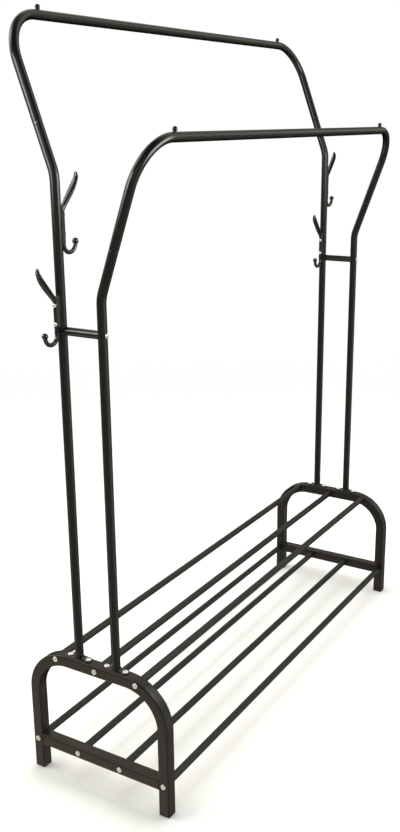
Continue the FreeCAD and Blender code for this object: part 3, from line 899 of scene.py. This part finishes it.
def rib_rings():
    """The web between the prong's middle line and the rib's curved edge."""
    rings = []
    last = len(RIB_EDGE) - 1
    for index in range(last):
        for step in range(6 if index == last - 1 else 5):
            edge = smoothed(RIB_EDGE, index, step / 5)
            root = smoothed(PRONG_STATIONS, index, step / 5)
            corners = ((edge, -1), (edge, 1), (root, 1), (root, -1))
            rings.append([(Vector((line[0], way * RIB_HALF, line[1])), 0.0) for line, way in corners])
    return rings


def body_rings():
    """The hook's upright body: a deep bar with rounded front edges and softened ends."""
    back, front = UPRIGHT_RADIUS / MM - 3.0, HOOK_FRONT / MM
    rings = []
    for height, inset in BODY_LEVELS:
        half = BODY_HALF - inset
        outline = [(back, -half), (back, half)]
        corner_x, corner_y = front - inset - BODY_CORNER, half - BODY_CORNER
        arc = [(BODY_CORNER * sin(k / 5 * pi / 2), BODY_CORNER * cos(k / 5 * pi / 2)) for k in range(6)]
        outline += [(corner_x + a, corner_y + b) for a, b in arc]
        outline += [(corner_x + b, -corner_y - a) for a, b in arc]
        rings.append([(Vector((x, y, height)), 0.0) for x, y in outline])
    return rings


def cup_rings():
    """The lower cup: a rod that leaves the body, swings through a half circle and thins to its ball."""
    centre = Vector((CUP_START + CUP_RADIUS, 0, CUP_FOOT))
    rings = [round_ring((centre + Vector((-CUP_RADIUS, 0, height)), -Z), Y, CUP_ROD, 0.0, 24)
             for height in (9, 5, 1)]
    for step in range(33):
        share = step / 32
        outward = Vector((cos(pi + pi * share), 0, sin(pi + pi * share)))
        station = (centre + outward * CUP_RADIUS, Vector((-outward.z, 0, outward.x)))
        rings.append(round_ring(station, Y, CUP_ROD - CUP_TAPER * share, 0.0, 24))
    end = centre + Vector((CUP_RADIUS, 0, 1))
    rings.append(round_ring((end, Z), Y, CUP_ROD - CUP_TAPER, 0.0, 24))
    return rings


def ball_rings():
    """The ball on the end of the lower cup."""
    rings = []
    for k in range(15):
        angle = radians(-84 + 12 * k)
        station = (CUP_BALL_CENTRE + Z * CUP_BALL * sin(angle), Z)
        rings.append(round_ring(station, X, CUP_BALL * cos(angle), 0.0, 28))
    return rings


def hook_mesh():
    """One casting: its parts run together, smoothed, then cut for the tube, its screws and their heads."""
    parts = Shape()
    for rings in (body_rings(), prong_rings(), cup_rings(), ball_rings(), rib_rings()):
        parts.skin([[(p * MM, w) for p, w in ring] for ring in rings])
    rough = finished_mesh("hook_parts", parts)
    cast = modified(rough, ("REMESH", {"mode": "VOXEL", "voxel_size": 0.42 * MM, "adaptivity": 0.0}),
                    ("SMOOTH", {"factor": 0.5, "iterations": 5}))
    cutters = [rod_cutter(UPRIGHT_RADIUS + SEAT_CLEARANCE, Vector((0, 0, -80 * MM)), Z, 160 * MM)]
    shank, head = (v * MM + 0.2 * MM for v in FASTENERS["hook_screws"][:2])
    for shift in HOOK_SCREW_SHIFTS:
        cutters.append(rod_cutter(shank, Vector((0, 0, shift)), X, 40 * MM))
        cutters.append(rod_cutter(head, Vector((HOOK_FRONT, 0, shift)), X, 20 * MM))
    cast = cut(cast, *cutters)
    shape = Shape().add_mesh(cast)
    shape.wear = convexity(cast)
    return shape


def rod_cutter(radius, start, direction, length):
    """A round rod whose shape is cut away."""
    rings = [round_ring((start + direction * d, direction), Y, radius, 0.0, 96) for d in (0, length)]
    return finished_mesh("cutter", Shape().skin(rings))


def convexity(mesh):
    """How much each point of a mesh stands out from its neighbours, from 0 to 1."""
    work = bmesh.new()
    work.from_mesh(mesh)
    values = []
    for vertex in work.verts:
        lean = 0.0
        for edge in vertex.link_edges:
            away = vertex.co - edge.other_vert(vertex).co
            if away.length > 0:
                lean += away.normalized().dot(vertex.normal) / len(vertex.link_edges)
        values.append(min(1.0, max(0.0, (lean - 0.10) / 0.12)))
    work.free()
    return values


# ---- fasteners

# How far each screw of a group was turned home, in radians.
FIRST_TURN = 0.35
TURN_STEP = 0.77


def recess_cutter(radius, height):
    """A tapered cross that cuts a screw head's recess."""
    rings = []
    for level, arm, half in ((1.3, 0.58, 0.15), (1.0, 0.52, 0.135), (0.38, 0.26, 0.08)):
        quarter = ((arm, -half), (arm, half), (half, half))
        outline = [(a * c - b * s, a * s + b * c) for c, s in QUARTER_TURNS for a, b in quarter]
        rings.append([(Vector((a * radius, b * radius, level * height)), 0.0) for a, b in outline])
    return finished_mesh("recess", Shape().skin(rings))


def screw_mesh(shank, head, height, length, pitch):
    """A pan-head screw: domed head with a tapered cross recess, and a threaded shank."""
    profile = [(head * 0.985, 0.0, 0.4), (head, 0.06 * height, 0.8), (head, 0.32 * height, 0.8)]
    for k in range(1, 12):
        angle = radians(90 - 90 * k / 12)
        profile.append((head * (0.12 + 0.88 * sin(angle) ** 0.8), height * (0.32 + 0.68 * cos(angle)), 0.5))
    profile.append((0.01 * head, height, 0.2))
    cap = lathe(Shape(), profile, Matrix.Identity(4), 56)
    made = Shape().add_mesh(cut(finished_mesh("cap", cap), recess_cutter(head, height)))
    made.wear = [0.3] * len(made.points)
    root, crest = shank - 0.55 * pitch, shank * 0.985
    thread = [(0.01 * shank, -length, 0), (root * 0.8, -length, 0)]
    for k in range(int(length / pitch) - 1, 0, -1):
        thread += [(root, -(k + 0.5) * pitch, 0), (crest, -k * pitch, 0)]
    thread += [(crest, -0.4 * pitch, 0), (crest, 0.3 * height, 0), (0.01 * shank, 0.3 * height, 0)]
    return lathe(made, thread, Matrix.Identity(4), 20)


def fasteners(template, places):
    """Copies of one screw, each seated at a (position, direction), turned a little differently."""
    made = Shape()
    for index, (position, direction) in enumerate(places):
        turn = Matrix.Rotation(FIRST_TURN + index * TURN_STEP, 4, "Z")
        aim = Z.rotation_difference(direction).to_matrix().to_4x4()
        made.add_shape(template, Matrix.Translation(position) @ aim @ turn)
    return made


def shelf_bolt_places(side):
    bars = [middle(node) for node in SHELF_BARS]
    return [(Vector((side * ARCH_FACE, bar.y, bar.z)), X * side) for bar in bars]


def flange_screw_places(side):
    top = FRAME_TOP + FLANGE_PLATE
    return [(Vector((side * END_X, row * UPRIGHT_OFFSET + way * FLANGE_SCREW_OFFSET, top)), Z)
            for _, row in ROWS for way in (-1, 1)]


def link_bolt_places(side):
    reach = UPRIGHT_OFFSET + UPRIGHT_RADIUS
    return [(Vector((side * END_X, row * reach, LINK_AXIS)), Y * row) for _, row in ROWS]


def hook_screw_places(side):
    return [(Vector((side * END_X + facing * HOOK_FRONT, UPRIGHT_OFFSET, height + shift)), X * facing)
            for _, height, facing in HOOKS for shift in HOOK_SCREW_SHIFTS]


# ---- assembly

def shape_piece(node, shape, sharp_angle=SHARP_ANGLE):
    """A detailed piece that stands for one CAD node, on its body and with its slot's material."""
    mesh = finished_mesh(f"{node}_detail", shape, sharp_angle)
    mesh.materials.append(MATERIALS[SLOT_OF[node]])
    piece = add_object(f"{node}_detail", mesh)
    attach(piece, BODY_OF[node])
    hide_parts(node)


def add_base():
    for end, side in ENDS:
        shape_piece(f"{end}_end_arch", end_arch(side))
        shape_piece(f"{end}_crossbar", crossbar(side))
        for name, row in ROWS:
            shape_piece(f"{end}_{name}_foot_plug", foot_plug(side, row))
    for node in SHELF_BARS:
        shape_piece(node, shelf_bar(node))


def add_uprights_and_rails():
    for end, side in ENDS:
        shape_piece(f"{end}_link_tube", link_tube(side))
        for name, row in ROWS:
            shape_piece(f"{end}_{name}_upright", upright(side, row))
            shape_piece(f"{end}_{name}_flange", flange(side, row))
            shape_piece(f"{end}_{name}_rail_stop", rail_stop(f"{end}_{name}_rail_stop"))
    for name, row in ROWS:
        shape_piece(f"{name}_hanging_rail", hanging_rail(row))


def add_hooks():
    casting = hook_mesh()
    for end, side in ENDS:
        for name, height, facing in HOOKS:
            turn = Matrix.Rotation(0 if facing > 0 else pi, 4, "Z")
            place = Matrix.Translation(Vector((side * END_X, UPRIGHT_OFFSET, height))) @ turn
            shape_piece(f"{end}_{name}_hook", Shape().add_shape(casting, place), radians(60))


def add_fasteners():
    groups = (("shelf_bolts", shelf_bolt_places), ("flange_screws", flange_screw_places),
              ("link_bolts", link_bolt_places), ("hook_screws", hook_screw_places))
    for group, places in groups:
        template = screw_mesh(*(v * MM for v in FASTENERS[group]))
        for end, side in ENDS:
            shape_piece(f"{end}_{group}", fasteners(template, places(side)))


def finish_hidden_nodes():
    """The CAD nodes that stay: threaded plugs and weld nuts inside the tubes."""
    for node, obj in frame["nodes"].items():
        if node.endswith(("_plugs", "_nuts")):
            for slot in obj.material_slots:
                slot.material = MATERIALS[SLOT_OF[node]]


# ---- studio

def add_floor():
    """A pale floor that thins out into the white round it, so that no horizon shows."""
    mesh = bpy.data.meshes.new("floor")
    corners = [(a * FLOOR_REACH, b * FLOOR_REACH, 0) for a, b in ((-1, -1), (1, -1), (1, 1), (-1, 1))]
    mesh.from_pydata(corners, [], [(0, 1, 2, 3)])
    floor = add_object("studio_floor", mesh)
    floor.visible_glossy = False
    paint = Paint("floor_paint")
    shade = paint.mix(paint.uneven(0.4, 3.0, 0.0, 1.0), (0.92, 0.92, 0.91), (0.95, 0.95, 0.94))
    paint.set(colour=shade, roughness=0.9, specular=0.1)
    distance = paint.math("LENGTH", paint.place, kind="ShaderNodeVectorMath")
    solid = paint.remap(distance, FLOOR_SOLID, FLOOR_GONE, 1.0, 0.0)
    paint.link(paint.math("POWER", solid, 2.0), paint.shader.inputs["Alpha"])
    mesh.materials.append(paint.material)


def add_softbox(name, place, target, extent, radiance, in_reflections):
    """An area light that faces a target, and shows either in reflections or in plain shading."""
    width, height = extent
    data = bpy.data.lights.new(name, "AREA")
    data.shape = "RECTANGLE"
    data.size = width
    data.size_y = height
    data.energy = radiance * pi * width * height
    light = add_object(name, data)
    light.location = place
    light.rotation_euler = (Vector(place) - Vector(target)).to_track_quat("Z", "Y").to_euler()
    light.visible_camera = False
    light.visible_glossy = in_reflections
    light.visible_diffuse = not in_reflections


# The room as the camera sees it, in broad glows: azimuth from +X, height and spread in degrees, and
# radiance.
GLOWS = (
    (284, -8, 16, (1.4, 1.4, 1.2)),  # the wall at the front right
    (313, 31, 15, (1.6, 1.5, 1.35)),  # the wall above it
    (112, 40, 13, (4.5, 4.5, 4.1)),  # a skylight at the left
    (5, 48, 16, (0.9, 0.85, 0.65)),  # the ceiling at the back
    (338, 13, 11, (0.9, 0.9, 0.75)),  # the right wall
    (42, 33, 15, (1.2, 1.1, 0.85)),  # the back wall
    (90, 17, 14, (3.5, 3.5, 3.1)),  # a far window at the left
    (205, 22, 14, (0.8, 0.75, 0.6)),  # behind the camera
    (225, -20, 40, (0.42, 0.42, 0.36)),  # the floor in front
    (312, -22, 20, (0.6, 0.58, 0.45)),  # the floor at the right
    (132, -45, 24, (1.2, 1.0, 0.75)),  # the floor at the left
)
# The soft lights: name, place, target, width and height, radiance, and whether they show in reflections.
SOFTBOXES = (
    ("overhead", (0.2, 0.2, 3.4), (0.0, 0.0, 0.0), (4.0, 3.2), 3.6, False),
    ("left_window", (-1.2, 0.4, 1.45), (-0.58, 0.0, 1.35), (0.5, 0.5), 7.5, True),
    ("right_window", (-0.12, -1.0, 1.40), (-0.45, -0.1, 1.32), (0.9, 0.5), 8.0, True),
)
# The floor reaches this far each way; it is solid round the object, and gone further out.
FLOOR_REACH = 6.0
FLOOR_SOLID = 1.0
FLOOR_GONE = 3.6
# The viewpoint: yaw, pitch and roll in degrees, place in metres and focal length in mm.
CAMERA_TURNS = (31.587, -16.646, -0.673)
CAMERA_PLACE = Vector((-1.969394, -1.106992, 1.347298))
LENS = 42.333


def add_world():
    """White where the camera looks past the object; round the object, a dim room with broad glows."""
    world = bpy.data.worlds.new("studio")
    bpy.context.scene.world = world
    room = Nodes(world)
    vector = "ShaderNodeVectorMath"
    direction = room.node("ShaderNodeTexCoord").outputs["Generated"]
    total = (0.0, 0.0, 0.0)
    for azimuth, height, spread, radiance in GLOWS:
        level = cos(radians(height))
        towards = (cos(radians(azimuth)) * level, sin(radians(azimuth)) * level, sin(radians(height)))
        sharpness = log(2) / (1 - cos(radians(spread)))
        dot = room.math("DOT_PRODUCT", direction, towards, kind=vector)
        glow = room.math("EXPONENT", room.math("MULTIPLY_ADD", dot, sharpness, -sharpness))
        tinted = room.math("SCALE", radiance, None, None, glow, kind=vector, output="Vector")
        total = room.math("ADD", total, tinted, kind=vector, output="Vector")
    choice = room.node("ShaderNodeMixShader")
    room.link(room.node("ShaderNodeLightPath").outputs["Is Camera Ray"], choice.inputs["Fac"])
    for index, colour in ((1, total), (2, (1.0, 1.0, 1.0, 1.0))):
        background = room.node("ShaderNodeBackground")
        room.feed(colour, background.inputs["Color"])
        room.link(background.outputs["Background"], choice.inputs[index])
    output = room.node("ShaderNodeOutputWorld")
    room.link(choice.outputs["Shader"], output.inputs["Surface"])


def add_camera():
    """The fitted viewpoint, in front of the left end and looking along the rails and down."""
    yaw, pitch, roll = (radians(angle) for angle in CAMERA_TURNS)
    forward = Vector((cos(yaw) * cos(pitch), sin(yaw) * cos(pitch), sin(pitch)))
    right = forward.cross(Z).normalized()
    up = right.cross(forward)
    turned_right = right * cos(roll) + up * sin(roll)
    turned_up = up * cos(roll) - right * sin(roll)
    matrix = Matrix((turned_right, turned_up, -forward)).transposed().to_4x4()
    matrix.translation = CAMERA_PLACE
    data = bpy.data.cameras.new("camera")
    data.sensor_fit = "VERTICAL"
    data.sensor_height = 36.0
    data.lens = LENS
    data.clip_end = 100.0
    camera = add_object("camera", data)
    camera.matrix_world = matrix
    bpy.context.scene.camera = camera


MATERIALS = all_materials()
add_base()
add_uprights_and_rails()
add_hooks()
add_fasteners()
finish_hidden_nodes()
add_floor()
add_world()
for softbox in SOFTBOXES:
    add_softbox(*softbox)
add_camera()
bpy.context.scene.view_settings.view_transform = "Standard"
